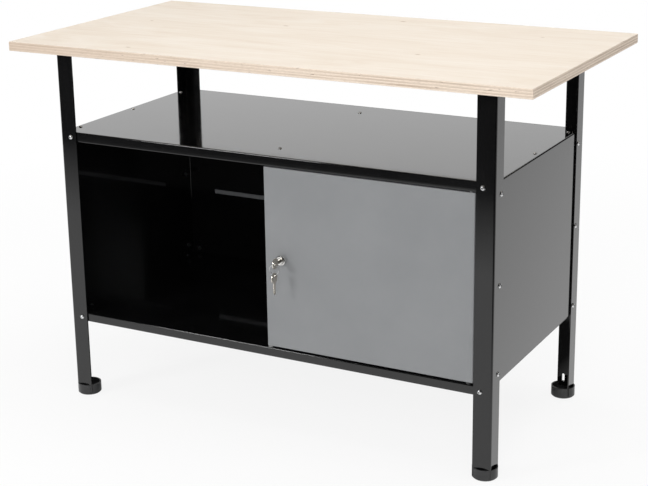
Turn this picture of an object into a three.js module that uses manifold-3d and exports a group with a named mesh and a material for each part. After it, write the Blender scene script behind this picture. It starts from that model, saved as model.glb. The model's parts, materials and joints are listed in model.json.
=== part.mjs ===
// Workbench with a plywood worktop on four angle-steel legs, a sheet-metal shelf, an open bay
// and a cupboard whose door turns on pivot pins and shuts with a cam lock.
// Millimetres, +Z up, the front faces -Y. The origin lies on the floor under the worktop's centre.
import * as THREE from "three";
import { mergeVertices } from "three/addons/utils/BufferGeometryUtils.js";
import Module from "manifold-3d";

const wasm = await Module();
wasm.setup();

// Overall sizes
const WORKTOP_WIDTH = 1200;
const WORKTOP_DEPTH = 630;
const WORKTOP_THICKNESS = 20;
const BENCH_HEIGHT = 820;
const SIDE_OVERHANG = 88;
const FRONT_OVERHANG = 48;
const REAR_OVERHANG = 80;

// Clearances
const SEAT_GAP = 0.3;
const HOLE_CLEARANCE = 0.3;
const EDGE_GAP = 0.7;

// Angle-steel legs
const LEG_FLANGE = 40;
const LEG_STEEL = 3;
const LEG_BEND = 4.5;
const SLOT_LENGTH = 20;
const SLOT_WIDTH = 6;
const SLOT_HEIGHT = 34;
const TOP_PLATE_SIZE = 74;
const TOP_PLATE_STEEL = 3;
const TOP_PLATE_CORNER = 30;
const TOP_PLATE_HOLE = 5;
const TOP_PLATE_HOLE_INSET = 14;

// Cup feet
const FOOT_DIAMETER = 53;
const FOOT_HEIGHT = 24;
const FOOT_FLOOR = 5;
const FOOT_CORE_HEIGHT = 15;
const FOOT_WALL = 3;
const FOOT_CHAMFER = 2.5;

// Folded sheet-metal shelf, lower tray, panels and divider
const SHEET = 1.2;
const FOLD_RADIUS = 2.4;
const SHELF_LEVEL = 620;
const SHELF_FOLD = 22;
const TRAY_LEVEL = 200;
const TRAY_FOLD = 20;
const FOLD_LIP = 16;
const PANEL_FLANGE = 25;
const DIVIDER_LEFT = -9;
const DIVIDER_FRONT_FLANGE = 22;
const CENTRE_SCREW_INSET = 68;
const CORNER_SCREW_INSET = 50;

// Door and its pivots
const DOOR_LEFT = 0;
const DOOR_RECESS = 3;
const DOOR_DEPTH = 16;
const DOOR_RIGHT_GAP = 2;
const DOOR_TOP_GAP = 2;
const DOOR_BOTTOM_GAP = 5;
const DOOR_STOP_GAP = 2;
const HINGE_INSET = 11;
const HINGE_SETBACK = 7;
const PIN_DIAMETER = 6;
const PIN_HEAD_DIAMETER = 10;
const PIN_HEAD_HEIGHT = 2;
const PIN_ENGAGEMENT = 8;
const SPACER_DIAMETER = 13;

// Cam lock
const LOCK_INSET = 40;
const LOCK_HEAD_DIAMETER = 21;
const LOCK_HEAD_DEPTH = 9;
const LOCK_HEAD_CHAMFER = 1.2;
const LOCK_BODY_DIAMETER = 17;
const LOCK_NUT_ACROSS_FLATS = 22;
const LOCK_NUT_THICKNESS = 4;
const PLUG_DIAMETER = 13;
const PLUG_RECESS = 0.8;
const PLUG_TAIL_DIAMETER = 6;
const CAM_LENGTH = 40;
const CAM_GAP = 4;
const CAM_WIDTH = 13;
const CAM_STEEL = 2;
const CAM_SCREW_DIAMETER = 8;
const CAM_SCREW_HEIGHT = 2.5;

// Keys and their ring
const KEY_STEEL = 2;
const KEY_BOW_DIAMETER = 23;
const KEY_NECK = 20;
const KEY_BLADE_HEIGHT = 7;
const KEY_BLADE_LENGTH = 17;
const KEY_CUT_DEPTHS = [0.9, 1.6, 0.6, 1.9, 1.1];
const KEY_HOLE_DIAMETER = 5;
const KEY_HOLE_INSET = 6;
const RING_WIRE = 1.6;
const RING_DIAMETER = 21;

// Fasteners
const BOLT_DIAMETER = 6;
const BOLT_HEAD_DIAMETER = 10.5;
const BOLT_HEAD_HEIGHT = 3.3;
const BOLT_LENGTH = 14;
const BOLT_SOCKET = 4;
const BOLT_SOCKET_DEPTH = 2;
const FRONT_BOLT_INSET = 26;
const SIDE_BOLT_INSET = 30;
const SIDE_BOLT_ABOVE_TRAY = 22;
const SIDE_BOLT_BELOW_SHELF = 27;
const SCREW_DIAMETER = 4;
const SCREW_HEAD_DIAMETER = 8;
const SCREW_HEAD_HEIGHT = 2.4;
const SCREW_LENGTH = 9;
const SCREW_INSET = 16;

// Roundness of turned pieces
const FOOT_SEGMENTS = 40;
const LOCK_SEGMENTS = 28;
const SMALL_SEGMENTS = 12;
const BEND_SEGMENTS = 4;
const DOME_STEPS = 3;
const RING_SEGMENTS = 32;
const WIRE_SEGMENTS = 8;

// Places worked out from the sizes
const legX = WORKTOP_WIDTH / 2 - SIDE_OVERHANG;
const frontY = -WORKTOP_DEPTH / 2 + FRONT_OVERHANG;
const rearY = WORKTOP_DEPTH / 2 - REAR_OVERHANG;
const middleY = (frontY + rearY) / 2;
const undersideZ = BENCH_HEIGHT - WORKTOP_THICKNESS;
const legInnerX = legX - LEG_STEEL;
const legInnerFrontY = frontY + LEG_STEEL;
const legInnerRearY = rearY - LEG_STEEL;
const panelOuterX = legInnerX - SEAT_GAP;
const panelInnerX = panelOuterX - SHEET;
const sheetHalfWidth = panelInnerX - SEAT_GAP;
const foldFrontY = legInnerFrontY + SEAT_GAP;
const backRearY = legInnerRearY - SEAT_GAP;
const backFrontY = backRearY - SHEET;
const foldRearY = backFrontY - SEAT_GAP;
const panelFrontY = foldFrontY + SHEET + EDGE_GAP;
const panelRearY = foldRearY - SHEET - FOLD_RADIUS - EDGE_GAP;
const panelTopZ = SHELF_LEVEL - SHEET - SEAT_GAP;
const panelBottomZ = TRAY_LEVEL + SEAT_GAP;
const doorFrontY = frontY + DOOR_RECESS;
const doorRearY = doorFrontY + DOOR_DEPTH;
const doorRightX = legX - LEG_FLANGE - DOOR_RIGHT_GAP;
const doorTopZ = SHELF_LEVEL - SHELF_FOLD - DOOR_TOP_GAP;
const doorBottomZ = TRAY_LEVEL + DOOR_BOTTOM_GAP;
const hingeX = doorRightX - HINGE_INSET;
const hingeY = doorFrontY + HINGE_SETBACK;
const lockX = DOOR_LEFT + LOCK_INSET;
const lockZ = (doorTopZ + doorBottomZ) / 2;
const dividerFrontY = doorRearY + DOOR_STOP_GAP;
const camFrontY = dividerFrontY + SHEET + CAM_GAP;
const camRearY = camFrontY + CAM_STEEL;
const lockRearY = camFrontY - SEAT_GAP;
const lockFaceY = doorFrontY - LOCK_HEAD_DEPTH;
const plugFaceY = lockFaceY + PLUG_RECESS;

// Finishes
const FINISHES = {
  plywood: { color: 0xf0e6d6, roughness: 0.6, metalness: 0 },
  blackPaint: { color: 0x151517, roughness: 0.25, metalness: 0 },
  greyPaint: { color: 0x8a8d8f, roughness: 0.45, metalness: 0 },
  blackPlastic: { color: 0x1c1c1d, roughness: 0.6, metalness: 0 },
  zinc: { color: 0xd4d6d8, roughness: 0.3, metalness: 1 },
  nickel: { color: 0xe2e2e0, roughness: 0.18, metalness: 1 },
  keyBrass: { color: 0xb59a68, roughness: 0.3, metalness: 1 },
  nylon: { color: 0x1d1d1f, roughness: 0.5, metalness: 0 },
};

const bench = new THREE.Group();

// Closed three.js geometry as a solid that can be joined and cut.
function solidOf(geometry) {
  const bare = geometry.index ? geometry.toNonIndexed() : geometry.clone();
  bare.deleteAttribute("normal");
  bare.deleteAttribute("uv");
  const merged = mergeVertices(bare, 1e-4);
  return new wasm.Manifold(
    new wasm.Mesh({
      numProp: 3,
      vertProperties: new Float32Array(merged.attributes.position.array),
      triVerts: new Uint32Array(merged.index.array),
    }),
  );
}

// A solid back as three.js geometry with flat faces.
function geometryOf(solid) {
  const mesh = solid.getMesh();
  const positions = new Float32Array(mesh.numVert * 3);
  for (let i = 0; i < mesh.numVert; i++) {
    const start = i * mesh.numProp;
    positions.set(mesh.vertProperties.subarray(start, start + 3), i * 3);
  }
  const shared = new THREE.BufferGeometry();
  shared.setAttribute("position", new THREE.BufferAttribute(positions, 3));
  shared.setIndex(new THREE.BufferAttribute(new Uint32Array(mesh.triVerts), 1));
  const faceted = shared.toNonIndexed();
  faceted.computeVertexNormals();
  return faceted;
}

function cut(geometry, ...tools) {
  return geometryOf(tools.reduce((left, tool) => left.subtract(solidOf(tool)), solidOf(geometry)));
}

function join(geometry, ...others) {
  return geometryOf(others.reduce((whole, other) => whole.add(solidOf(other)), solidOf(geometry)));
}

// A block between two corners.
function block(x0, x1, y0, y1, z0, z1) {
  const geometry = new THREE.BoxGeometry(x1 - x0, y1 - y0, z1 - z0);
  return geometry.translate((x0 + x1) / 2, (y0 + y1) / 2, (z0 + z1) / 2);
}

// A round bar from its starting point along "x", "y" or "z".
function bar(axis, x, y, z, diameter, length, segments = SMALL_SEGMENTS) {
  const geometry = new THREE.CylinderGeometry(diameter / 2, diameter / 2, length, segments);
  geometry.translate(0, length / 2, 0);
  if (axis === "x") geometry.rotateZ(-Math.PI / 2);
  if (axis === "z") geometry.rotateX(Math.PI / 2);
  return geometry.translate(x, y, z);
}

// A hexagonal bar on the Y axis.
function hexBar(y, acrossFlats, length) {
  const radius = acrossFlats / Math.sqrt(3);
  return new THREE.CylinderGeometry(radius, radius, length, 6).translate(0, y + length / 2, 0);
}

// A turned piece on the Y axis from points of radius and height.
function turned(section, segments) {
  const points = section.map(([radius, height]) => new THREE.Vector2(radius, height));
  return new THREE.LatheGeometry(points, segments);
}

function polygon(points) {
  return new THREE.Shape(points.map(([u, v]) => new THREE.Vector2(u, v)));
}

function extrude(shape, depth, curveSegments = BEND_SEGMENTS) {
  return new THREE.ExtrudeGeometry(shape, { depth, bevelEnabled: false, curveSegments });
}

// Both faces of a sheet that is square-bent at each turning point.
// The points follow the near face, and the sheet lies on their left.
function bentFaces(points) {
  const path = points.map(([u, v]) => new THREE.Vector2(u, v));
  const headings = path.slice(1).map((p, i) => p.clone().sub(path[i]).normalize());
  const near = [path[0]];
  const far = [sideways(path[0], headings[0], SHEET)];
  for (let i = 1; i < path.length - 1; i++) {
    const before = headings[i - 1];
    const after = headings[i];
    const start = path[i].clone().addScaledVector(before, -FOLD_RADIUS);
    const turn = Math.sign(before.x * after.y - before.y * after.x);
    const centre = sideways(start, before, turn * FOLD_RADIUS);
    const from = Math.atan2(start.y - centre.y, start.x - centre.x);
    const farRadius = FOLD_RADIUS - turn * SHEET;
    for (let k = 0; k <= BEND_SEGMENTS; k++) {
      const angle = from + (turn * (Math.PI / 2) * k) / BEND_SEGMENTS;
      const spoke = new THREE.Vector2(Math.cos(angle), Math.sin(angle));
      near.push(centre.clone().addScaledVector(spoke, FOLD_RADIUS));
      far.push(centre.clone().addScaledVector(spoke, farRadius));
    }
  }
  near.push(path.at(-1));
  far.push(sideways(path.at(-1), headings.at(-1), SHEET));
  return { near, far };
}

function bentStrip(points) {
  const { near, far } = bentFaces(points);
  return new THREE.Shape([...near, ...far.reverse()]);
}

function sideways(point, heading, distance) {
  return new THREE.Vector2(point.x - heading.y * distance, point.y + heading.x * distance);
}

// A section drawn in (Y, Z), stretched along X on both sides of the middle.
function alongX(shape, halfWidth, curveSegments) {
  const geometry = extrude(shape, 2 * halfWidth, curveSegments);
  geometry.rotateY(Math.PI / 2).rotateX(Math.PI / 2);
  return geometry.translate(-halfWidth, 0, 0);
}

// A section drawn in (X, Z), stretched along +Y.
function alongY(shape, y0, y1, curveSegments) {
  const geometry = extrude(shape, y1 - y0, curveSegments);
  geometry.rotateX(Math.PI / 2);
  return geometry.translate(0, y1, 0);
}

function add(name, geometry, finish) {
  const mesh = new THREE.Mesh(geometry, new THREE.MeshStandardMaterial(FINISHES[finish]));
  mesh.name = name;
  bench.add(mesh);
  return mesh;
}

// The four corners, with the signs of their sides
const CORNERS = [
  { name: "front_left", sideX: -1, sideY: -1, y: frontY },
  { name: "front_right", sideX: 1, sideY: -1, y: frontY },
  { name: "rear_left", sideX: -1, sideY: 1, y: rearY },
  { name: "rear_right", sideX: 1, sideY: 1, y: rearY },
];

// Sets a piece at a corner. It is drawn with the leg's outer corner at the origin and its flanges
// along +X and +Y.
function setAtCorner(mesh, corner) {
  mesh.position.set(corner.sideX * legX, corner.y, 0);
  mesh.scale.set(-corner.sideX, -corner.sideY, 1);
}

// Heights of the bolts
const lowSideBoltZ = TRAY_LEVEL + SIDE_BOLT_ABOVE_TRAY;
const highSideBoltZ = SHELF_LEVEL - SIDE_BOLT_BELOW_SHELF;
const SIDE_BOLTS = [
  { level: "low", z: lowSideBoltZ },
  { level: "middle", z: (lowSideBoltZ + highSideBoltZ) / 2 },
  { level: "high", z: highSideBoltZ },
];
const shelfBoltZ = SHELF_LEVEL - SHELF_FOLD / 2;
const trayFrontBoltZ = TRAY_LEVEL - TRAY_FOLD / 2;
const trayRearBoltZ = TRAY_LEVEL + TRAY_FOLD / 2;

// Bolts through the front or rear flange of a corner
function faceBolts(corner) {
  return [
    { level: "shelf", z: shelfBoltZ },
    { level: "tray", z: corner.sideY < 0 ? trayFrontBoltZ : trayRearBoltZ },
  ];
}

const boltHole = BOLT_DIAMETER + 2 * HOLE_CLEARANCE;
const screwHole = SCREW_DIAMETER + 2 * HOLE_CLEARANCE;
const pinHole = PIN_DIAMETER + 2 * HOLE_CLEARANCE;

// Worktop
const halfWidth = WORKTOP_WIDTH / 2;
const halfDepth = WORKTOP_DEPTH / 2;
add(
  "worktop",
  block(-halfWidth, halfWidth, -halfDepth, halfDepth, undersideZ, BENCH_HEIGHT),
  "plywood",
);

// Angle section with its outer corner at the origin and its flanges along both axes
function angleSection(flange, steel, bend) {
  const inner = bend - steel;
  const shape = new THREE.Shape();
  shape.moveTo(flange, 0);
  shape.lineTo(flange, steel);
  shape.lineTo(bend, steel);
  shape.absarc(bend, bend, inner, -Math.PI / 2, -Math.PI, true);
  shape.lineTo(steel, flange);
  shape.lineTo(0, flange);
  shape.lineTo(0, bend);
  shape.absarc(bend, bend, bend, Math.PI, 1.5 * Math.PI, false);
  return shape;
}

// An upright slot through a rear leg's rear flange
function legSlot() {
  const through = 3 * LEG_STEEL;
  const reach = (SLOT_LENGTH - SLOT_WIDTH) / 2;
  const left = FRONT_BOLT_INSET - SLOT_WIDTH / 2;
  const right = FRONT_BOLT_INSET + SLOT_WIDTH / 2;
  const low = SLOT_HEIGHT - reach;
  const high = SLOT_HEIGHT + reach;
  return [
    bar("y", FRONT_BOLT_INSET, -LEG_STEEL, low, SLOT_WIDTH, through),
    bar("y", FRONT_BOLT_INSET, -LEG_STEEL, high, SLOT_WIDTH, through),
    block(left, right, -LEG_STEEL, 2 * LEG_STEEL, low, high),
  ];
}

// Legs with their bolt holes, and slots low down in the rear ones
const legBottomZ = FOOT_FLOOR + SEAT_GAP;
const legTopZ = undersideZ - SEAT_GAP;
for (const corner of CORNERS) {
  const through = 3 * LEG_STEEL;
  const angle = extrude(angleSection(LEG_FLANGE, LEG_STEEL, LEG_BEND), legTopZ - legBottomZ);
  angle.translate(0, 0, legBottomZ);
  const holes = [
    ...faceBolts(corner).map((bolt) =>
      bar("y", FRONT_BOLT_INSET, -LEG_STEEL, bolt.z, boltHole, through),
    ),
    ...SIDE_BOLTS.map((bolt) =>
      bar("x", -LEG_STEEL, SIDE_BOLT_INSET, bolt.z, boltHole, through),
    ),
  ];
  if (corner.sideY > 0) holes.push(...legSlot());
  setAtCorner(add(`leg_${corner.name}`, cut(angle, ...holes), "blackPaint"), corner);
}

// Plates welded into the legs' top ends, which the worktop is screwed to
for (const corner of CORNERS) {
  const start = LEG_STEEL + EDGE_GAP;
  const end = TOP_PLATE_SIZE;
  const shape = polygon([
    [start, start + EDGE_GAP],
    [start + EDGE_GAP, start],
    [end, start],
    [end, TOP_PLATE_CORNER],
    [TOP_PLATE_CORNER, end],
    [start, end],
  ]);
  const plate = extrude(shape, TOP_PLATE_STEEL).translate(0, 0, legTopZ - TOP_PLATE_STEEL);
  const far = end - TOP_PLATE_HOLE_INSET;
  const near = start + TOP_PLATE_HOLE_INSET;
  const holeStart = legTopZ - 2 * TOP_PLATE_STEEL;
  const holes = [
    bar("z", far, near, holeStart, TOP_PLATE_HOLE, 3 * TOP_PLATE_STEEL),
    bar("z", near, far, holeStart, TOP_PLATE_HOLE, 3 * TOP_PLATE_STEEL),
  ];
  setAtCorner(add(`top_plate_${corner.name}`, cut(plate, ...holes), "blackPaint"), corner);
}

// Cup feet, each with a socket that its leg stands in
const footRadius = FOOT_DIAMETER / 2;
const footSection = [
  [0, 0],
  [footRadius - FOOT_CHAMFER, 0],
  [footRadius, FOOT_CHAMFER],
  [footRadius, FOOT_HEIGHT],
  [footRadius - FOOT_WALL, FOOT_HEIGHT],
  [footRadius - FOOT_WALL, FOOT_CORE_HEIGHT],
  [0, FOOT_CORE_HEIGHT],
];
for (const corner of CORNERS) {
  const cup = turned(footSection, FOOT_SEGMENTS).rotateX(Math.PI / 2);
  cup.translate(LEG_FLANGE / 2, LEG_FLANGE / 2, 0);
  const room = 2 * SEAT_GAP;
  const socket = extrude(
    angleSection(LEG_FLANGE + room, LEG_STEEL + room, LEG_BEND + SEAT_GAP),
    FOOT_HEIGHT,
  );
  socket.translate(-SEAT_GAP, -SEAT_GAP, FOOT_FLOOR);
  setAtCorner(add(`foot_${corner.name}`, cut(cup, socket), "blackPlastic"), corner);
}

// Holes for the two bolts through a fold or panel whose outer face lies at y
function crossBoltHoles(y, z) {
  const x = legX - FRONT_BOLT_INSET;
  return [-x, x].map((at) => bar("y", at, y - 2 * SHEET, z, boltHole, 4 * SHEET));
}

// Screws that hold the shelf on the side panels and the divider
const dividerScrewX = DIVIDER_LEFT + PANEL_FLANGE / 2;
const sideScrewX = legX - SCREW_INSET;
const frontScrewY = frontY + CORNER_SCREW_INSET;
const rearScrewY = rearY - CORNER_SCREW_INSET;
const SHELF_SCREWS = [
  { name: "left_front", row: "left", x: -sideScrewX, y: frontScrewY },
  { name: "left_middle", row: "left", x: -sideScrewX, y: middleY },
  { name: "left_rear", row: "left", x: -sideScrewX, y: rearScrewY },
  { name: "right_front", row: "right", x: sideScrewX, y: frontScrewY },
  { name: "right_middle", row: "right", x: sideScrewX, y: middleY },
  { name: "right_rear", row: "right", x: sideScrewX, y: rearScrewY },
  { name: "centre_front", row: "centre", x: dividerScrewX, y: frontY + CENTRE_SCREW_INSET },
  { name: "centre_rear", row: "centre", x: dividerScrewX, y: rearY - CENTRE_SCREW_INSET },
];

function screwHoles(rows) {
  const screws = SHELF_SCREWS.filter((screw) => rows.includes(screw.row));
  const start = panelTopZ - 2 * SHEET;
  const length = SHELF_LEVEL + SHEET - start;
  return screws.map((screw) => bar("z", screw.x, screw.y, start, screwHole, length));
}

// Shelf: a sheet with both long edges folded down and turned in
const shelfLipZ = SHELF_LEVEL - SHELF_FOLD;
const shelfSection = bentStrip([
  [foldRearY - FOLD_LIP, shelfLipZ],
  [foldRearY, shelfLipZ],
  [foldRearY, SHELF_LEVEL],
  [foldFrontY, SHELF_LEVEL],
  [foldFrontY, shelfLipZ],
  [foldFrontY + FOLD_LIP, shelfLipZ],
]);
add(
  "shelf",
  cut(
    alongX(shelfSection, sheetHalfWidth),
    ...crossBoltHoles(foldFrontY, shelfBoltZ),
    ...crossBoltHoles(foldRearY, shelfBoltZ),
    ...screwHoles(["left", "right", "centre"]),
    bar("z", hingeX, hingeY, shelfLipZ - SHEET, pinHole, 3 * SHEET),
  ),
  "blackPaint",
);

// Lower tray: its front edge is folded down and turned in, and its rear edge stands up
const trayLipZ = TRAY_LEVEL - TRAY_FOLD;
const traySection = bentStrip([
  [foldRearY - SHEET, TRAY_LEVEL + TRAY_FOLD],
  [foldRearY - SHEET, TRAY_LEVEL],
  [foldFrontY, TRAY_LEVEL],
  [foldFrontY, trayLipZ],
  [foldFrontY + FOLD_LIP, trayLipZ],
]);
add(
  "lower_tray",
  cut(
    alongX(traySection, sheetHalfWidth),
    ...crossBoltHoles(foldFrontY, trayFrontBoltZ),
    ...crossBoltHoles(foldRearY, trayRearBoltZ),
    bar("z", hingeX, hingeY, TRAY_LEVEL - 2 * SHEET, pinHole, 3 * SHEET),
  ),
  "blackPaint",
);

// Side panels, flanged inwards under the shelf and on the tray
const panelSection = bentStrip([
  [panelOuterX - PANEL_FLANGE, panelBottomZ],
  [panelOuterX, panelBottomZ],
  [panelOuterX, panelTopZ],
  [panelOuterX - PANEL_FLANGE, panelTopZ],
]);
for (const [side, sideX] of [
  ["left", -1],
  ["right", 1],
]) {
  const boltHoles = [frontY + SIDE_BOLT_INSET, rearY - SIDE_BOLT_INSET].flatMap((y) =>
    SIDE_BOLTS.map((bolt) => bar("x", panelInnerX - SHEET, y, bolt.z, boltHole, 3 * SHEET)),
  );
  const panel = cut(
    alongY(panelSection, panelFrontY, panelRearY),
    ...boltHoles,
    ...screwHoles(["right"]),
  );
  add(`side_panel_${side}`, panel, "blackPaint").scale.x = sideX;
}

// Back panel between the rear legs
const backPanel = block(
  -sheetHalfWidth,
  sheetHalfWidth,
  backFrontY,
  backRearY,
  TRAY_LEVEL,
  SHELF_LEVEL - SEAT_GAP,
);
add(
  "back_panel",
  cut(
    backPanel,
    ...crossBoltHoles(backRearY, shelfBoltZ),
    ...crossBoltHoles(backRearY, trayRearBoltZ),
  ),
  "blackPaint",
);

// Divider beside the cupboard, with a front flange that the door shuts on and the cam locks behind
const dividerRight = DIVIDER_LEFT + PANEL_FLANGE;
const dividerSection = bentStrip([
  [dividerRight, panelTopZ],
  [DIVIDER_LEFT, panelTopZ],
  [DIVIDER_LEFT, panelBottomZ],
  [dividerRight, panelBottomZ],
]);
const dividerFlange = block(
  DIVIDER_LEFT,
  DIVIDER_LEFT + DIVIDER_FRONT_FLANGE,
  dividerFrontY,
  dividerFrontY + SHEET,
  panelBottomZ + FOLD_RADIUS,
  panelTopZ - FOLD_RADIUS,
);
const dividerNotch = block(
  DIVIDER_LEFT - SHEET,
  dividerRight + SHEET,
  foldRearY - FOLD_LIP - EDGE_GAP,
  foldRearY,
  shelfLipZ - EDGE_GAP,
  SHELF_LEVEL,
);
add(
  "divider",
  cut(
    join(alongY(dividerSection, dividerFrontY, panelRearY), dividerFlange),
    dividerNotch,
    ...screwHoles(["centre"]),
  ),
  "blackPaint",
);

// Door: a pan open to the rear, with holes for its pivots and its lock
const doorFold = [
  [DOOR_LEFT, doorRearY],
  [DOOR_LEFT, doorFrontY],
  [doorRightX, doorFrontY],
  [doorRightX, doorRearY],
];
const doorWrap = extrude(bentStrip(doorFold), doorTopZ - doorBottomZ).translate(0, 0, doorBottomZ);
const doorEnds = [doorBottomZ, doorTopZ - SHEET].map((z) =>
  extrude(new THREE.Shape(bentFaces(doorFold).near), SHEET).translate(0, 0, z),
);
add(
  "door_panel",
  cut(
    join(doorWrap, ...doorEnds),
    bar("z", hingeX, hingeY, doorTopZ - 2 * SHEET, pinHole, 3 * SHEET),
    bar("z", hingeX, hingeY, doorBottomZ - SHEET, pinHole, 3 * SHEET),
    bar(
      "y",
      lockX,
      doorFrontY - SHEET,
      lockZ,
      LOCK_BODY_DIAMETER + 2 * HOLE_CLEARANCE,
      3 * SHEET,
      LOCK_SEGMENTS,
    ),
  ),
  "greyPaint",
);

// A pivot pin with its head at the origin and its shank along +Z
function pivotPin(length) {
  const head = PIN_HEAD_DIAMETER / 2;
  const shank = PIN_DIAMETER / 2;
  const section = [
    [0, -PIN_HEAD_HEIGHT],
    [head, -PIN_HEAD_HEIGHT],
    [head, 0],
    [shank, 0],
    [shank, length - shank / 2],
    [shank / 2, length],
    [0, length],
  ];
  return turned(section, LOCK_SEGMENTS).rotateX(Math.PI / 2);
}

const upperSeatZ = shelfLipZ + SHEET + SEAT_GAP;
const upperPin = add("hinge_pin_upper", pivotPin(upperSeatZ - doorTopZ + PIN_ENGAGEMENT), "zinc");
upperPin.position.set(hingeX, hingeY, upperSeatZ);
upperPin.rotation.x = Math.PI;
const lowerSeatZ = TRAY_LEVEL - SHEET - SEAT_GAP;
const lowerPin = add(
  "hinge_pin_lower",
  pivotPin(doorBottomZ - lowerSeatZ + PIN_ENGAGEMENT),
  "zinc",
);
lowerPin.position.set(hingeX, hingeY, lowerSeatZ);

// Nylon spacer that the door turns on
const spacerSection = [
  [pinHole / 2, TRAY_LEVEL + SEAT_GAP],
  [SPACER_DIAMETER / 2, TRAY_LEVEL + SEAT_GAP],
  [SPACER_DIAMETER / 2, doorBottomZ - SEAT_GAP],
  [pinHole / 2, doorBottomZ - SEAT_GAP],
  [pinHole / 2, TRAY_LEVEL + SEAT_GAP],
];
add("hinge_spacer", turned(spacerSection, LOCK_SEGMENTS).rotateX(Math.PI / 2), "nylon").position.set(
  hingeX,
  hingeY,
  0,
);

// Pieces of the lock are turned about its axis, which runs along Y.
function addOnLockAxis(name, geometry, finish) {
  const mesh = add(name, geometry, finish);
  mesh.position.set(lockX, 0, lockZ);
  return mesh;
}

const lockBore = PLUG_DIAMETER / 2 + HOLE_CLEARANCE;
const lockHead = LOCK_HEAD_DIAMETER / 2;
const lockSection = [
  [lockBore, lockFaceY],
  [lockHead - LOCK_HEAD_CHAMFER, lockFaceY],
  [lockHead, lockFaceY + LOCK_HEAD_CHAMFER],
  [lockHead, doorFrontY - SEAT_GAP],
  [LOCK_BODY_DIAMETER / 2, doorFrontY - SEAT_GAP],
  [LOCK_BODY_DIAMETER / 2, lockRearY],
  [lockBore, lockRearY],
  [lockBore, lockFaceY],
];
addOnLockAxis("lock_body", turned(lockSection, LOCK_SEGMENTS), "nickel");

const nutFrontY = doorFrontY + SHEET + SEAT_GAP;
const lockNut = cut(
  hexBar(nutFrontY, LOCK_NUT_ACROSS_FLATS, LOCK_NUT_THICKNESS),
  bar(
    "y",
    0,
    nutFrontY - LOCK_NUT_THICKNESS,
    0,
    LOCK_BODY_DIAMETER + 2 * HOLE_CLEARANCE,
    3 * LOCK_NUT_THICKNESS,
    LOCK_SEGMENTS,
  ),
);
addOnLockAxis("lock_nut", lockNut, "zinc");

const tailEndY = camRearY + SEAT_GAP;
const plugSection = [
  [0, plugFaceY],
  [PLUG_DIAMETER / 2, plugFaceY],
  [PLUG_DIAMETER / 2, lockRearY],
  [PLUG_TAIL_DIAMETER / 2, lockRearY],
  [PLUG_TAIL_DIAMETER / 2, tailEndY],
  [0, tailEndY],
];
const keywayHalfWidth = KEY_STEEL / 2 + HOLE_CLEARANCE;
const keywayHalfHeight = KEY_BLADE_HEIGHT / 2 + HOLE_CLEARANCE;
const keyway = block(
  -keywayHalfWidth,
  keywayHalfWidth,
  lockFaceY,
  plugFaceY + KEY_BLADE_LENGTH + SEAT_GAP,
  -keywayHalfHeight,
  keywayHalfHeight,
);
const camScrewShank = CAM_SCREW_DIAMETER / 3;
const camScrewHole = bar(
  "y",
  0,
  tailEndY - 2 * CAM_SCREW_HEIGHT - SEAT_GAP,
  0,
  camScrewShank + 2 * HOLE_CLEARANCE,
  3 * CAM_SCREW_HEIGHT,
);
addOnLockAxis("lock_plug", cut(turned(plugSection, LOCK_SEGMENTS), keyway, camScrewHole), "nickel");

// Cam plate, upright when the lock is open
const camHalf = CAM_WIDTH / 2;
const camShape = new THREE.Shape();
camShape.moveTo(camHalf, 0);
camShape.lineTo(camHalf, CAM_LENGTH - camHalf);
camShape.absarc(0, CAM_LENGTH - camHalf, camHalf, 0, Math.PI, false);
camShape.lineTo(-camHalf, 0);
camShape.absarc(0, 0, camHalf, Math.PI, 2 * Math.PI, false);
const camHole = bar(
  "y",
  0,
  camFrontY - CAM_STEEL,
  0,
  PLUG_TAIL_DIAMETER + 2 * HOLE_CLEARANCE,
  3 * CAM_STEEL,
);
addOnLockAxis("lock_cam", cut(alongY(camShape, camFrontY, camRearY, SMALL_SEGMENTS), camHole), "zinc");

const camScrewSection = [
  [0, -2 * CAM_SCREW_HEIGHT],
  [camScrewShank / 2, -2 * CAM_SCREW_HEIGHT],
  [camScrewShank / 2, 0],
  [CAM_SCREW_DIAMETER / 2, 0],
  [CAM_SCREW_DIAMETER / 2, CAM_SCREW_HEIGHT / 2],
  [CAM_SCREW_DIAMETER / 3, CAM_SCREW_HEIGHT],
  [0, CAM_SCREW_HEIGHT],
];
const camScrew = addOnLockAxis("cam_screw", turned(camScrewSection, SMALL_SEGMENTS), "zinc");
camScrew.position.y = tailEndY + SEAT_GAP;

// Key with its shoulder at the origin, its blade along +Y and its round bow towards -Y
function keyShape() {
  const halfBlade = KEY_BLADE_HEIGHT / 2;
  const pitch = (KEY_BLADE_LENGTH - halfBlade) / KEY_CUT_DEPTHS.length;
  const cuts = KEY_CUT_DEPTHS.flatMap((depth, i) => {
    const middle = (i + 0.5) * pitch;
    return [
      [middle - pitch / 3, -halfBlade],
      [middle, depth - halfBlade],
      [middle + pitch / 3, -halfBlade],
    ];
  });
  const blade = polygon([
    [-KEY_NECK, -halfBlade],
    ...cuts,
    [KEY_BLADE_LENGTH - halfBlade, -halfBlade],
    [KEY_BLADE_LENGTH, 0],
    [KEY_BLADE_LENGTH - halfBlade, halfBlade],
    [-KEY_NECK, halfBlade],
  ]);
  const bow = new THREE.Shape();
  bow.absarc(-KEY_NECK, 0, KEY_BOW_DIAMETER / 2, 0, 2 * Math.PI, false);
  const hole = bar("x", -KEY_STEEL, keyHoleY, 0, KEY_HOLE_DIAMETER, 2 * KEY_STEEL);
  const whole = join(
    alongX(bow, KEY_STEEL / 2, SMALL_SEGMENTS),
    alongX(blade, KEY_STEEL / 2),
  );
  return cut(whole, hole);
}

const keyHoleY = -KEY_NECK - KEY_BOW_DIAMETER / 2 + KEY_HOLE_INSET;
const keySeatY = plugFaceY - SEAT_GAP;
addOnLockAxis("key", keyShape(), "keyBrass").position.y = keySeatY;

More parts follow.
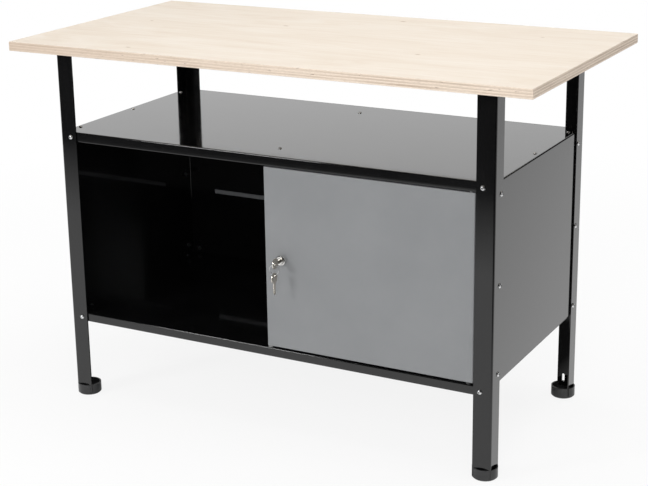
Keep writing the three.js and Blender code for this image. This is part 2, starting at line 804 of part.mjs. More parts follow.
// Split ring that hangs in the key's hole, with the spare key hanging on it
const ringY = keySeatY + keyHoleY;
const wireDrop = KEY_HOLE_DIAMETER / 2 - RING_WIRE / 2 - SEAT_GAP;
const ringTopZ = lockZ - wireDrop;
const ringBottomZ = ringTopZ - RING_DIAMETER;
const ring = new THREE.TorusGeometry(RING_DIAMETER / 2, RING_WIRE / 2, WIRE_SEGMENTS, RING_SEGMENTS);
ring.rotateX(Math.PI / 2);
add("key_ring", ring, "zinc").position.set(lockX, ringY, ringTopZ - RING_DIAMETER / 2);
const spareKey = add("spare_key", keyShape(), "keyBrass");
spareKey.rotation.x = -Math.PI / 2;
spareKey.position.set(lockX, ringY, ringBottomZ - wireDrop + keyHoleY);

// A domed screw or bolt with its head's seat at the origin and its shank along +Y
function fastener(headDiameter, headHeight, diameter, length) {
  const dome = [];
  for (let i = 0; i <= DOME_STEPS; i++) {
    const angle = (i / DOME_STEPS) * (Math.PI / 2);
    dome.push([(headDiameter / 2) * Math.sin(angle), -headHeight * Math.cos(angle)]);
  }
  const section = [
    ...dome,
    [diameter / 2, 0],
    [diameter / 2, length - diameter / 4],
    [diameter / 4, length],
    [0, length],
  ];
  return turned(section, SMALL_SEGMENTS);
}

function socketBolt() {
  const socketY = BOLT_SOCKET_DEPTH - BOLT_HEAD_HEIGHT;
  return cut(
    fastener(BOLT_HEAD_DIAMETER, BOLT_HEAD_HEIGHT, BOLT_DIAMETER, BOLT_LENGTH),
    hexBar(socketY - BOLT_HEAD_HEIGHT, BOLT_SOCKET, BOLT_HEAD_HEIGHT),
  );
}

// Bolts through the legs' front, rear and side flanges
for (const corner of CORNERS) {
  for (const { level, z } of faceBolts(corner)) {
    const bolt = add(`bolt_${corner.name}_${level}`, socketBolt(), "zinc");
    const x = corner.sideX * (legX - FRONT_BOLT_INSET);
    bolt.position.set(x, corner.y + corner.sideY * SEAT_GAP, z);
    bolt.rotation.z = corner.sideY > 0 ? Math.PI : 0;
  }
  for (const { level, z } of SIDE_BOLTS) {
    const bolt = add(`bolt_${corner.name}_side_${level}`, socketBolt(), "zinc");
    const y = corner.y - corner.sideY * SIDE_BOLT_INSET;
    bolt.position.set(corner.sideX * (legX + SEAT_GAP), y, z);
    bolt.rotation.z = corner.sideX * (Math.PI / 2);
  }
}

// Screws through the shelf
for (const { name, x, y } of SHELF_SCREWS) {
  const geometry = fastener(SCREW_HEAD_DIAMETER, SCREW_HEAD_HEIGHT, SCREW_DIAMETER, SCREW_LENGTH);
  const screw = add(`shelf_screw_${name}`, geometry, "zinc");
  screw.position.set(x, y, SHELF_LEVEL + SEAT_GAP);
  screw.rotation.x = -Math.PI / 2;
}

export default bench;
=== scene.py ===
"""Looks of the workbench with a cupboard: fasteners, rail, finishes, floor, light and camera. Metres."""
import json
import math

import bmesh
import bpy
from mathutils import Matrix, Vector


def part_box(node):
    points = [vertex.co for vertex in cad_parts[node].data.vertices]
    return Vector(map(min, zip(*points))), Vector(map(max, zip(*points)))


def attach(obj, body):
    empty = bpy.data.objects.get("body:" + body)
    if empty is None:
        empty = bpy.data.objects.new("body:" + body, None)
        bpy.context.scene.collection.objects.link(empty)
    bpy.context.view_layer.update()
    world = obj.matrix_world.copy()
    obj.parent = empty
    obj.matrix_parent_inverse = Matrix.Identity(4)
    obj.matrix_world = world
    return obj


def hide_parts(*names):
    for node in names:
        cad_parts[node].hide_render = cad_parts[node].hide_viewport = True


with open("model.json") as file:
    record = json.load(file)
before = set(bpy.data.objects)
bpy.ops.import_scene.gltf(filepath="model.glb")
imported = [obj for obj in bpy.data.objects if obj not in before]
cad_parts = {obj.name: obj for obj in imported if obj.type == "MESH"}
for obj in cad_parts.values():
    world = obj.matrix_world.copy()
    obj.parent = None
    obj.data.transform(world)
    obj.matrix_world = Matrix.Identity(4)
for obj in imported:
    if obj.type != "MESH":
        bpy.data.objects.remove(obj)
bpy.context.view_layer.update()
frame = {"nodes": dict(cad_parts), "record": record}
nodes = frame["nodes"]
MM = 0.001

# Camera: pixels of the picture, a sensor in millimetres, degrees and metres
PICTURE_WIDTH = 648
PICTURE_HEIGHT = 486
SENSOR_WIDTH = 36.0
FOCAL_PIXELS = 1523.5
CENTRE_PIXEL = (324, 215)
CAMERA_AZIMUTH = 28.475
CAMERA_ELEVATION = 16.626
CAMERA_ROLL = -0.86
CAMERA_DISTANCE = 3.2529
CAMERA_TARGET = Vector((0.0619, -0.1194, 0.4615))
CAMERA_REACH = 100.0

# Sizes of the fasteners
BOLT_HEAD_DIAMETER = 10.5 * MM
BOLT_HEAD_HEIGHT = 3.3 * MM
BOLT_DIAMETER = 6 * MM
BOLT_LENGTH = 14 * MM
BOLT_SOCKET = 4 * MM
BOLT_SOCKET_DEPTH = 2 * MM
THREAD_PITCH = 1 * MM
THREAD_DEPTH = 0.35 * MM
HALF_GROOVE_SHARE = 0.25
SHANK_TIP_SHARE = 0.75
NUT_ACROSS_FLATS = 10 * MM
NUT_THICKNESS = 5 * MM
NUT_CHAMFER_SHARE = 0.6
NUT_FACE_SHARE = 0.97
NUT_CLEARANCE = 0.05 * MM
SCREW_HEAD_DIAMETER = 8 * MM
SCREW_HEAD_HEIGHT = 2.4 * MM
SCREW_DIAMETER = 4 * MM
SCREW_LENGTH = 9 * MM
WOOD_SCREW_LENGTH = 17 * MM
CROSS_LENGTH = 4.2 * MM
CROSS_WIDTH = 0.9 * MM
CROSS_DEPTH = 1.3 * MM
PLATE_HOLE_INSET = 14 * MM
SEAT_GAP = 0.3 * MM
ROUND_STEPS = 32
DOME_STEPS = 7

# Rail across the back panel
RAIL_LENGTH = 868 * MM
RAIL_HEIGHT = 10 * MM
RAIL_DEPTH = 3.5 * MM
RAIL_STEEL = 1 * MM
RAIL_LEVEL = 366 * MM
RAIL_SLOT = "door_paint"

# Edges of the solids
SHARP_ANGLE = math.radians(35)
WELD_DISTANCE = 0.01 * MM
EDGE_STEPS = 2
EDGE_ROUNDING = {
    "plywood": 0.7 * MM,
    "black_paint": 0.35 * MM,
    "door_paint": 0.5 * MM,
    "foot_plastic": 0.6 * MM,
    "zinc": 0.2 * MM,
    "lock_nickel": 0.3 * MM,
    "key_metal": 0.25 * MM,
    "nylon": 0.3 * MM,
}

# Spans in which most values of a noise lie
NOISE_SPAN = (0.3, 0.7)
SCRATCH_SPAN = (0.35, 0.65)
COAT_ROUGHNESS = 0.02

# Numbers of the Mix node's sockets for colours
MIX_FIRST = 6
MIX_SECOND = 7
MIX_RESULT = 2


# Nodes of the materials


def new_material(name):
    """A material with a Principled shader; returns its nodes' tree and the shader too."""
    material = bpy.data.materials.new(name)
    material.use_nodes = True
    tree = material.node_tree
    return material, tree, tree.nodes["Principled BSDF"]


def node(tree, kind, inputs=None, **settings):
    """A new node with its settings, and with its inputs set or linked by name or number."""
    made = tree.nodes.new(kind)
    for key, value in settings.items():
        setattr(made, key, value)
    for key, value in (inputs or {}).items():
        if isinstance(value, bpy.types.NodeSocket):
            tree.links.new(value, made.inputs[key])
        else:
            made.inputs[key].default_value = value
    return made


def math_node(tree, operation, *values):
    """The result of one arithmetic step on values or sockets."""
    inputs = dict(enumerate(values))
    return node(tree, "ShaderNodeMath", inputs, operation=operation).outputs[0]


def object_point(tree):
    """The surface's point in the object's own frame."""
    return node(tree, "ShaderNodeTexCoord").outputs["Object"]


def stretched(tree, point, scale):
    """A point scaled along each axis."""
    return node(tree, "ShaderNodeMapping", {"Vector": point, "Scale": scale}).outputs[0]


def noise(tree, point, scale, detail, roughness=0.55, distortion=0.0):
    """A cloudy value from 0 to 1."""
    inputs = {
        "Vector": point,
        "Scale": scale,
        "Detail": detail,
        "Roughness": roughness,
        "Distortion": distortion,
    }
    return node(tree, "ShaderNodeTexNoise", inputs).outputs["Fac"]


def ramp(tree, value, stops):
    """A colour ramp; each stop is a place and a colour or a grey."""
    made = node(tree, "ShaderNodeValToRGB", {"Fac": value})
    elements = made.color_ramp.elements
    while len(elements) < len(stops):
        elements.new(1.0)
    for element, (place_on_ramp, colour) in zip(elements, stops):
        grey = isinstance(colour, (int, float))
        element.position = place_on_ramp
        element.color = (colour, colour, colour, 1.0) if grey else (*colour, 1.0)
    return made.outputs["Color"]


def two_tones(tree, value, dark, light):
    """A colour that a noise moves between a dark and a light tone."""
    return ramp(tree, value, list(zip(NOISE_SPAN, (dark, light))))


def remap(tree, value, source, target):
    """A value moved from one span to another, and held inside it."""
    names = ("Value", "From Min", "From Max", "To Min", "To Max")
    inputs = dict(zip(names, (value, *source, *target)))
    return node(tree, "ShaderNodeMapRange", inputs).outputs["Result"]


def mixed(tree, share, first, second):
    """Two colours mixed by a share."""
    inputs = {0: share}
    for number, colour in ((MIX_FIRST, first), (MIX_SECOND, second)):
        is_socket = isinstance(colour, bpy.types.NodeSocket)
        inputs[number] = colour if is_socket else (*colour, 1.0)
    return node(tree, "ShaderNodeMix", inputs, data_type="RGBA").outputs[MIX_RESULT]


def bumped(tree, shader, height, strength, distance):
    """Fine relief on a shader's surface."""
    inputs = {"Height": height, "Strength": strength, "Distance": distance}
    normal = node(tree, "ShaderNodeBump", inputs).outputs["Normal"]
    tree.links.new(normal, shader.inputs["Normal"])


def make_paint(name, dark, light, roughness, coat, peel):
    """Powder coat: faint clouds in its colour, uneven gloss and fine orange peel."""
    material, tree, shader = new_material(name)
    point = object_point(tree)
    clouds = noise(tree, point, scale=9.0, detail=5.0)
    specks = noise(tree, point, scale=420.0, detail=2.0)
    smears = noise(tree, point, scale=23.0, detail=6.0)
    tree.links.new(two_tones(tree, clouds, dark, light), shader.inputs["Base Color"])
    tree.links.new(remap(tree, smears, NOISE_SPAN, roughness), shader.inputs["Roughness"])
    shader.inputs["Coat Weight"].default_value = coat
    shader.inputs["Coat Roughness"].default_value = COAT_ROUGHNESS
    bumped(tree, shader, specks, strength=peel, distance=0.1 * MM)
    return material


def make_metal(name, dark, light, roughness, grain):
    """Plated metal: cloudy colour, uneven gloss and fine scratches."""
    material, tree, shader = new_material(name)
    point = object_point(tree)
    clouds = noise(tree, point, scale=260.0, detail=5.0)
    scratches = noise(tree, stretched(tree, point, grain), scale=900.0, detail=6.0, roughness=0.7)
    tree.links.new(two_tones(tree, clouds, dark, light), shader.inputs["Base Color"])
    tree.links.new(remap(tree, scratches, SCRATCH_SPAN, roughness), shader.inputs["Roughness"])
    shader.inputs["Metallic"].default_value = 1.0
    bumped(tree, shader, scratches, strength=0.15, distance=0.05 * MM)
    return material


def make_plastic(name, dark, light, roughness):
    """Moulded plastic with a fine leathery grain."""
    material, tree, shader = new_material(name)
    point = object_point(tree)
    grain = noise(tree, point, scale=700.0, detail=3.0)
    clouds = noise(tree, point, scale=35.0, detail=4.0)
    tree.links.new(two_tones(tree, clouds, dark, light), shader.inputs["Base Color"])
    tree.links.new(remap(tree, grain, NOISE_SPAN, roughness), shader.inputs["Roughness"])
    bumped(tree, shader, grain, strength=0.35, distance=0.1 * MM)
    return material


# Plywood
VENEER_PALE = (0.83, 0.755, 0.665)
VENEER_MIDDLE = (0.79, 0.7, 0.597)
VENEER_DEEP = (0.72, 0.61, 0.495)
KNOT_BROWN = (0.42, 0.29, 0.19)
PLY_PALE = (0.8, 0.69, 0.58)
PLY_DARK = (0.52, 0.41, 0.32)
GLUE_LINE = (0.3, 0.2, 0.13)
# Painted shade: the dark inside of small gaps in the plies
PLY_VOID_SHADE = (0.16, 0.1, 0.06)
PLY = 2.86 * MM
PLY_WAVER = 0.16
PLY_ROUGHNESS = (0.5, 0.68)
PLY_SPECULAR = 0.3

# How upright a normal is where an edge turns into a face
FACE_TILT = (0.6, 0.8)

# Shares of the fine streaks and the broad figure in the veneer's tone
STREAK_SHARE = 0.42
FIGURE_SHARE = 0.58

# Marks: the span in which each sets in, and its strongest share
FLECKS = ((0.62, 0.8), 0.35)
EDGE_PATCHES = ((0.38, 0.66), 0.85)
EDGE_FRAYS = ((0.42, 0.7), 0.6)
# Small gaps in the plies, painted with the shade inside them
EDGE_VOID_SHADE = ((0.7, 0.735), 0.85)

# The edges darken towards the left end, over this span of X in metres
EDGE_SHADE_SPAN = (-0.6, 0.2)
EDGE_SHADE = 0.6

# Knots: place on the face in metres, and size in millimetres
KNOTS = (
    (0.070, 0.257, 6.0),
    (-0.147, 0.100, 6.0),
    (-0.321, -0.266, 5.0),
    (0.269, -0.095, 5.0),
    (0.430, 0.190, 4.0),
    (-0.470, 0.040, 4.0),
)
KNOT_ALONG = 1.6
KNOT_ACROSS = 0.6
KNOT_RIM = (0.35, 1.0)


def marks(tree, value, mark):
    """The share of a mark where a noise is high."""
    span, strongest = mark
    return remap(tree, value, span, (0.0, strongest))


def knots_on_face(tree, point):
    """1 in the middle of each small knot of the veneer, and 0 from its rim outwards."""
    total = 0.0
    for x, y, size in KNOTS:
        offset = node(
            tree, "ShaderNodeVectorMath", {0: point, 1: (x, y, 0.0)}, operation="SUBTRACT"
        ).outputs[0]
        scale = (1 / (KNOT_ALONG * size * MM), 1 / (KNOT_ACROSS * size * MM), 0.0)
        flat = stretched(tree, offset, scale)
        reach = node(tree, "ShaderNodeVectorMath", {0: flat}, operation="LENGTH").outputs["Value"]
        spot = remap(tree, reach, KNOT_RIM, (1.0, 0.0))
        total = math_node(tree, "MAXIMUM", spot, total)
    return total


def veneer_colour(tree, point, fibres):
    """Grain along X, with flecks and knots."""
    broad = stretched(tree, point, (1.0, 4.5, 1.0))
    narrow = stretched(tree, point, (1.0, 26.0, 1.0))
    figure = noise(tree, broad, scale=2.6, detail=5.0, roughness=0.6, distortion=1.4)
    streaks = noise(tree, narrow, scale=7.0, detail=6.0, roughness=0.62, distortion=0.25)
    figure_part = math_node(tree, "MULTIPLY", figure, FIGURE_SHARE)
    tone = math_node(tree, "MULTIPLY_ADD", streaks, STREAK_SHARE, figure_part)
    face = ramp(tree, tone, [(0.38, VENEER_PALE), (0.53, VENEER_MIDDLE), (0.72, VENEER_DEEP)])
    face = mixed(tree, marks(tree, fibres, FLECKS), face, VENEER_DEEP)
    return mixed(tree, knots_on_face(tree, point), face, KNOT_BROWN)


def ply_colour(tree, point, parts, frays):
    """Pale and dark plies in turn with glue lines between them, sawn rough, and with small gaps in the
    core painted dark as the shade inside them.
    """
    waver = noise(tree, stretched(tree, point, (1.0, 1.0, 0.0)), scale=3.0, detail=3.0)
    layer = math_node(tree, "MULTIPLY", parts["Z"], 0.5 / PLY)
    layer = math_node(tree, "MULTIPLY_ADD", waver, PLY_WAVER, layer)
    layer = math_node(tree, "FRACT", layer)
    stops = [
        (0.0, GLUE_LINE),
        (0.06, PLY_PALE),
        (0.46, PLY_PALE),
        (0.51, GLUE_LINE),
        (0.57, PLY_DARK),
        (0.95, PLY_DARK),
        (1.0, GLUE_LINE),
    ]
    long_spots = stretched(tree, point, (1.0, 1.0, 45.0))
    patches = noise(tree, long_spots, scale=7.0, detail=4.0, roughness=0.6)
    # Painted shade of small gaps in the plies
    void_shade = noise(tree, stretched(tree, point, (1.0, 1.0, 9.0)), scale=46.0, detail=2.0)
    shade = remap(tree, parts["X"], EDGE_SHADE_SPAN, (EDGE_SHADE, 0.0))
    edge = mixed(tree, marks(tree, patches, EDGE_PATCHES), ramp(tree, layer, stops), PLY_PALE)
    edge = mixed(tree, marks(tree, frays, EDGE_FRAYS), edge, PLY_DARK)
    edge = mixed(tree, shade, edge, PLY_DARK)
    return mixed(tree, marks(tree, void_shade, EDGE_VOID_SHADE), edge, PLY_VOID_SHADE)


def make_plywood():
    """Birch plywood: veneer on its faces, and its layers on its edges."""
    material, tree, shader = new_material("birch_plywood")
    coordinates = node(tree, "ShaderNodeTexCoord").outputs
    point = coordinates["Object"]
    parts = node(tree, "ShaderNodeSeparateXYZ", {0: point}).outputs
    facing = node(tree, "ShaderNodeSeparateXYZ", {0: coordinates["Normal"]}).outputs
    upright = math_node(tree, "ABSOLUTE", facing["Z"])
    on_face = remap(tree, upright, FACE_TILT, (0.0, 1.0))
    along_grain = stretched(tree, point, (1.0, 34.0, 34.0))
    fibres = noise(tree, along_grain, scale=38.0, detail=4.0, roughness=0.7)
    along_edge = stretched(tree, point, (1.0, 1.0, 5.0))
    frays = noise(tree, along_edge, scale=130.0, detail=5.0, roughness=0.7)
    face = veneer_colour(tree, point, fibres)
    edge = ply_colour(tree, point, parts, frays)
    tree.links.new(mixed(tree, on_face, edge, face), shader.inputs["Base Color"])
    tree.links.new(remap(tree, fibres, NOISE_SPAN, PLY_ROUGHNESS), shader.inputs["Roughness"])
    shader.inputs["Specular IOR Level"].default_value = PLY_SPECULAR
    relief = math_node(tree, "ADD", fibres, frays)
    bumped(tree, shader, relief, strength=0.25, distance=0.12 * MM)
    return material


FINISHES = {
    "plywood": make_plywood(),
    "black_paint": make_paint(
        "black_gloss_paint",
        dark=(0.003, 0.003, 0.0032),
        light=(0.005, 0.005, 0.0053),
        roughness=(0.05, 0.1),
        coat=0.3,
        peel=0.05,
    ),
    "door_paint": make_paint(
        "grey_satin_paint",
        dark=(0.214, 0.22, 0.227),
        light=(0.232, 0.238, 0.245),
        roughness=(0.4, 0.5),
        coat=0.0,
        peel=0.12,
    ),
    "foot_plastic": make_plastic(
        "black_foot_plastic",
        dark=(0.02, 0.02, 0.021),
        light=(0.031, 0.031, 0.032),
        roughness=(0.26, 0.42),
    ),
    "zinc": make_metal(
        "bright_zinc",
        dark=(0.74, 0.75, 0.77),
        light=(0.9, 0.9, 0.89),
        roughness=(0.3, 0.44),
        grain=(1.0, 1.0, 0.1),
    ),
    "lock_nickel": make_metal(
        "polished_nickel",
        dark=(0.8, 0.79, 0.76),
        light=(0.92, 0.91, 0.89),
        roughness=(0.16, 0.28),
        grain=(1.0, 0.1, 1.0),
    ),
    "key_metal": make_metal(
        "worn_key_metal",
        dark=(0.7, 0.64, 0.55),
        light=(0.88, 0.84, 0.77),
        roughness=(0.24, 0.38),
        grain=(1.0, 0.1, 0.1),
    ),
    "nylon": make_plastic(
        "black_nylon",
        dark=(0.016, 0.016, 0.017),
        light=(0.026, 0.026, 0.028),
        roughness=(0.4, 0.5),
    ),
}


# Rounded edges and smooth curves of the solids


def make_smoother():
    """Node group that shades curves smoothly and keeps sharp edges sharp."""
    group = bpy.data.node_groups.new("smooth_curves", "GeometryNodeTree")
    for direction in ("INPUT", "OUTPUT"):
        group.interface.new_socket("Geometry", in_out=direction, socket_type="NodeSocketGeometry")
    start = group.nodes.new("NodeGroupInput")
    end = group.nodes.new("NodeGroupOutput")
    angle = group.nodes.new("GeometryNodeInputMeshEdgeAngle")
    is_sharp = node(
        group,
        "FunctionNodeCompare",
        {0: angle.outputs["Unsigned Angle"], 1: SHARP_ANGLE},
        operation="GREATER_THAN",
    )
    faces = node(
        group,
        "GeometryNodeSetShadeSmooth",
        {"Geometry": start.outputs[0], "Shade Smooth": True},
        domain="FACE",
    )
    edges = node(
        group,
        "GeometryNodeSetShadeSmooth",
        {"Geometry": faces.outputs[0], "Selection": is_sharp.outputs[0], "Shade Smooth": False},
        domain="EDGE",
    )
    group.links.new(edges.outputs[0], end.inputs[0])
    return group


SMOOTHER = make_smoother()


def smooth_curves(piece):
    """Smooth shading on a piece's curves."""
    smooth = piece.modifiers.new("smooth_curves", "NODES")
    smooth.node_group = SMOOTHER


def round_edges(piece, width):
    """Rounded edges on a piece, with its flat faces still shaded flat."""
    weld = piece.modifiers.new("weld", "WELD")
    weld.merge_threshold = WELD_DISTANCE
    bevel = piece.modifiers.new("rounded_edges", "BEVEL")
    bevel.width = width
    bevel.segments = EDGE_STEPS
    bevel.limit_method = "ANGLE"
    bevel.angle_limit = SHARP_ANGLE
    bevel.face_strength_mode = "FSTR_ALL"
    smooth_curves(piece)
    flat_faces = piece.modifiers.new("flat_faces", "WEIGHTED_NORMAL")
    flat_faces.keep_sharp = True
    flat_faces.use_face_influence = True


for subpart in frame["record"]["subparts"]:
    solid = nodes[subpart["node"]]
    slot = subpart["material_slot"]
    solid.data.materials.clear()
    solid.data.materials.append(FINISHES[slot])
    round_edges(solid, EDGE_ROUNDING[slot])


# Shapes of the fasteners


def turned(section):
    """A closed piece turned about Z from points of radius and height; both ends have radius 0."""
    made = bmesh.new()
    rings = []
    for radius, height in section:
        if radius == 0:
            rings.append([made.verts.new((0, 0, height))])
            continue
        angles = [2 * math.pi * i / ROUND_STEPS for i in range(ROUND_STEPS)]
        rings.append(
            [made.verts.new((radius * math.cos(a), radius * math.sin(a), height)) for a in angles]
        )
    for lower, upper in zip(rings, rings[1:]):
        for i in range(ROUND_STEPS):
            j = (i + 1) % ROUND_STEPS
            corners = [lower[i % len(lower)], lower[j % len(lower)]]
            corners += [upper[j % len(upper)], upper[i % len(upper)]]
            made.faces.new(dict.fromkeys(corners))
    bmesh.ops.recalc_face_normals(made, faces=made.faces)
    return made


def prism(corners, low, high):
    """An upright prism on a flat outline."""
    made = bmesh.new()
    base = made.faces.new([made.verts.new((x, y, low)) for x, y in corners])
    top = bmesh.ops.extrude_face_region(made, geom=[base])["geom"]
    moved = [part for part in top if isinstance(part, bmesh.types.BMVert)]
    bmesh.ops.translate(made, vec=(0, 0, high - low), verts=moved)
    bmesh.ops.recalc_face_normals(made, faces=made.faces)
    return made


def hexagon(across_flats):
    """Corners of a hexagon about the origin."""
    radius = across_flats / math.sqrt(3)
    return [
        (radius * math.cos(math.radians(60 * i)), radius * math.sin(math.radians(60 * i)))
        for i in range(6)
    ]


def rectangle(width, height):
    """Corners of a rectangle about the origin."""
    return [
        (-width / 2, -height / 2),
        (width / 2, -height / 2),
        (width / 2, height / 2),
        (-width / 2, height / 2),
    ]


def add_object(name, data):
    """A new object in the scene."""
    made = bpy.data.objects.new(name, data)
    bpy.context.scene.collection.objects.link(made)
    return made


def object_of(made, name):
    """A new object with a finished shape as its mesh."""
    mesh = bpy.data.meshes.new(name)
    made.to_mesh(mesh)
    made.free()
    return add_object(name, mesh)


def carved(made, name, *changes):
    """A mesh after a row of boolean changes, each an operation and the shape it uses."""
    body = object_of(made, name)
    helpers = []
    for operation, shape in changes:
        helper = object_of(shape, name + "_helper")
        helpers.append(helper)
        change = body.modifiers.new(operation.lower(), "BOOLEAN")
        change.operation = operation
        change.object = helper
    evaluated = body.evaluated_get(bpy.context.evaluated_depsgraph_get())
    mesh = bpy.data.meshes.new_from_object(evaluated)
    for used in (body, *helpers):
        bpy.data.objects.remove(used)
    mesh.name = name
    return mesh


def thread(radius, length):
    """Outline of a threaded shank from its head to its chamfered end."""
    half_groove = HALF_GROOVE_SHARE * THREAD_PITCH
    outline = [(radius, 0.0)]
    for turn in range(1, int(length / THREAD_PITCH)):
        height = turn * THREAD_PITCH
        outline.append((radius, height - half_groove))
        outline.append((radius - THREAD_DEPTH, height))
        outline.append((radius, height + half_groove))
    return outline + [(SHANK_TIP_SHARE * radius, length), (0, length)]


def dome(diameter, height):
    """Outline of a domed head that seats at height 0."""
    angles = [math.pi / 2 * i / DOME_STEPS for i in range(DOME_STEPS + 1)]
    return [(diameter / 2 * math.sin(a), -height * math.cos(a)) for a in angles]


def bolt_mesh():
    """A domed bolt with a hexagon socket."""
    outline = dome(BOLT_HEAD_DIAMETER, BOLT_HEAD_HEIGHT) + thread(BOLT_DIAMETER / 2, BOLT_LENGTH)
    socket = prism(
        hexagon(BOLT_SOCKET), -2 * BOLT_HEAD_HEIGHT, BOLT_SOCKET_DEPTH - BOLT_HEAD_HEIGHT
    )
    return carved(turned(outline), "socket_bolt", ("DIFFERENCE", socket))


def nut_mesh():
    """A hexagon nut with chamfered corners and a plain bore."""
    corner = NUT_ACROSS_FLATS / math.sqrt(3)
    chamfer = NUT_CHAMFER_SHARE * (corner - NUT_ACROSS_FLATS / 2)
    face = NUT_ACROSS_FLATS / 2 * NUT_FACE_SHARE
    rounding = turned(
        [
            (0, 0),
            (face, 0),
            (corner, chamfer),
            (corner, NUT_THICKNESS - chamfer),
            (face, NUT_THICKNESS),
            (0, NUT_THICKNESS),
        ]
    )
    bore_radius = BOLT_DIAMETER / 2 + NUT_CLEARANCE
    bore = turned(
        [(0, -MM), (bore_radius, -MM), (bore_radius, 2 * NUT_THICKNESS), (0, 2 * NUT_THICKNESS)]
    )
    block = prism(hexagon(NUT_ACROSS_FLATS), 0.0, NUT_THICKNESS)
    return carved(block, "hex_nut", ("INTERSECT", rounding), ("DIFFERENCE", bore))


def screw_mesh(name, length):
    """A domed screw with a cross in its head."""
    outline = dome(SCREW_HEAD_DIAMETER, SCREW_HEAD_HEIGHT) + thread(SCREW_DIAMETER / 2, length)
    low = -2 * SCREW_HEAD_HEIGHT
    high = CROSS_DEPTH - SCREW_HEAD_HEIGHT
    return carved(
        turned(outline),
        name,
        ("DIFFERENCE", prism(rectangle(CROSS_LENGTH, CROSS_WIDTH), low, high)),
        ("DIFFERENCE", prism(rectangle(CROSS_WIDTH, CROSS_LENGTH), low, high)),
    )


def pointing(direction):
    """A turn that lays +Z along a direction."""
    return Vector(direction).to_track_quat("Z", "Y").to_matrix().to_4x4()


def place(mesh, name, seat, direction, replaced=None):
    """A fastener with its seat at a point and its shank along a direction."""
    piece = add_object(name, mesh)
    piece.matrix_world = Matrix.Translation(seat) @ pointing(direction)
    smooth_curves(piece)
    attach(piece, "bench")
    if replaced:
        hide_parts(replaced)


BOLT = bolt_mesh()
NUT = nut_mesh()
SHELF_SCREW = screw_mesh("shelf_screw", SCREW_LENGTH)
WOOD_SCREW = screw_mesh("wood_screw", WOOD_SCREW_LENGTH)
for mesh in (BOLT, NUT, SHELF_SCREW, WOOD_SCREW):
    mesh.materials.clear()
    mesh.materials.append(FINISHES["zinc"])

# Bolts and nuts in the legs' flanges
CORNERS = {
    "front_left": (-1, -1),
    "front_right": (1, -1),
    "rear_left": (-1, 1),
    "rear_right": (1, 1),
}
shelf_low, shelf_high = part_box("shelf")
tray_low, tray_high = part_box("lower_tray")
sheet_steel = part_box("back_panel")[1].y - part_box("back_panel")[0].y


def fit_bolt(bolt, inward, sheet_face):
    """A bolt whose shank runs inward, and its nut, which seats past the sheet's face."""
    axis = 0 if inward.x else 1
    low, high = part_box(bolt)
    sign = inward[axis]
    seat = (low + high) / 2
    seat[axis] = low[axis] if sign > 0 else high[axis]
    seat += inward * BOLT_HEAD_HEIGHT
    place(BOLT, bolt.replace("bolt_", "socket_bolt_"), seat, inward, bolt)
    nut_seat = seat.copy()
    nut_seat[axis] = sheet_face + sign * (sheet_steel + SEAT_GAP)
    place(NUT, bolt.replace("bolt_", "nut_"), nut_seat, inward)


for corner, (side_x, side_y) in CORNERS.items():
    for level, low, high in (("shelf", shelf_low, shelf_high), ("tray", tray_low, tray_high)):
        face = low.y if side_y < 0 else high.y
        fit_bolt(f"bolt_{corner}_{level}", Vector((0, -side_y, 0)), face)
    panel_low, panel_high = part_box("side_panel_left" if side_x < 0 else "side_panel_right")
    for level in ("low", "middle", "high"):
        face = panel_low.x if side_x < 0 else panel_high.x
        fit_bolt(f"bolt_{corner}_side_{level}", Vector((-side_x, 0, 0)), face)

# Screws down through the shelf, and through the lower flanges into the tray
DOWN = (0, 0, -1)
flange_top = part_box("divider")[0].z + sheet_steel
screw_names = [name for name in nodes if name.startswith("shelf_screw_")]
for name in screw_names:
    low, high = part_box(name)
    spot = (low + high) / 2
    seat = Vector((spot.x, spot.y, shelf_high.z + SEAT_GAP))
    place(SHELF_SCREW, name.replace("shelf_screw", "cross_screw"), seat, DOWN, name)
    if "middle" not in name:
        low_seat = Vector((spot.x, spot.y, flange_top + SEAT_GAP))
        place(SHELF_SCREW, name.replace("shelf_screw", "tray_screw"), low_seat, DOWN)

# Wood screws up through the holes of the legs' top plates
UP = (0, 0, 1)
for corner, (side_x, side_y) in CORNERS.items():
    low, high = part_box("top_plate_" + corner)
    outer = Vector((high.x if side_x > 0 else low.x, high.y if side_y > 0 else low.y, low.z))
    inner = Vector((low.x if side_x > 0 else high.x, low.y if side_y > 0 else high.y, low.z))
    step = Vector((side_x, side_y, 0)) * PLATE_HOLE_INSET
    near = outer - step
    far = inner + step
    for order, (x, y) in enumerate(((far.x, near.y), (near.x, far.y)), 1):
        seat = Vector((x, y, low.z - SEAT_GAP))
        place(WOOD_SCREW, f"worktop_screw_{corner}_{order}", seat, UP)


# Rail across the back panel


def rail_section():
    """Outline of a shallow channel that opens towards +X."""
    half = RAIL_HEIGHT / 2
    return [
        (0, -half),
        (RAIL_DEPTH, -half),
        (RAIL_DEPTH, RAIL_STEEL - half),
        (RAIL_STEEL, RAIL_STEEL - half),
        (RAIL_STEEL, half - RAIL_STEEL),
        (RAIL_DEPTH, half - RAIL_STEEL),
        (RAIL_DEPTH, half),
        (0, half),
    ]


def add_back_rail():
    """A slim rail along the front face of the back panel."""
    piece = object_of(prism(rail_section(), -RAIL_LENGTH / 2, RAIL_LENGTH / 2), "back_rail")
    piece.data.materials.append(FINISHES[RAIL_SLOT])
    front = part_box("back_panel")[0].y - SEAT_GAP - RAIL_DEPTH
    piece.matrix_world = Matrix.Translation((0, front, RAIL_LEVEL)) @ pointing((1, 0, 0))
    round_edges(piece, EDGE_ROUNDING[RAIL_SLOT])
    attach(piece, "bench")


add_back_rail()


# Floor and surroundings
WHITE = (1.0, 1.0, 1.0, 1.0)
FLOOR_HALF = 9.0
FLOOR_DARK = 0.9
FLOOR_LIGHT = 0.92
FLOOR_ROUGHNESS = 0.9
AMBIENT = 0.45

# The floor's white glow for the camera: its share near the bench, and where it grows to full
NEAR_GLOW = 0.86
GLOW_REACH = (0.8, 2.4)
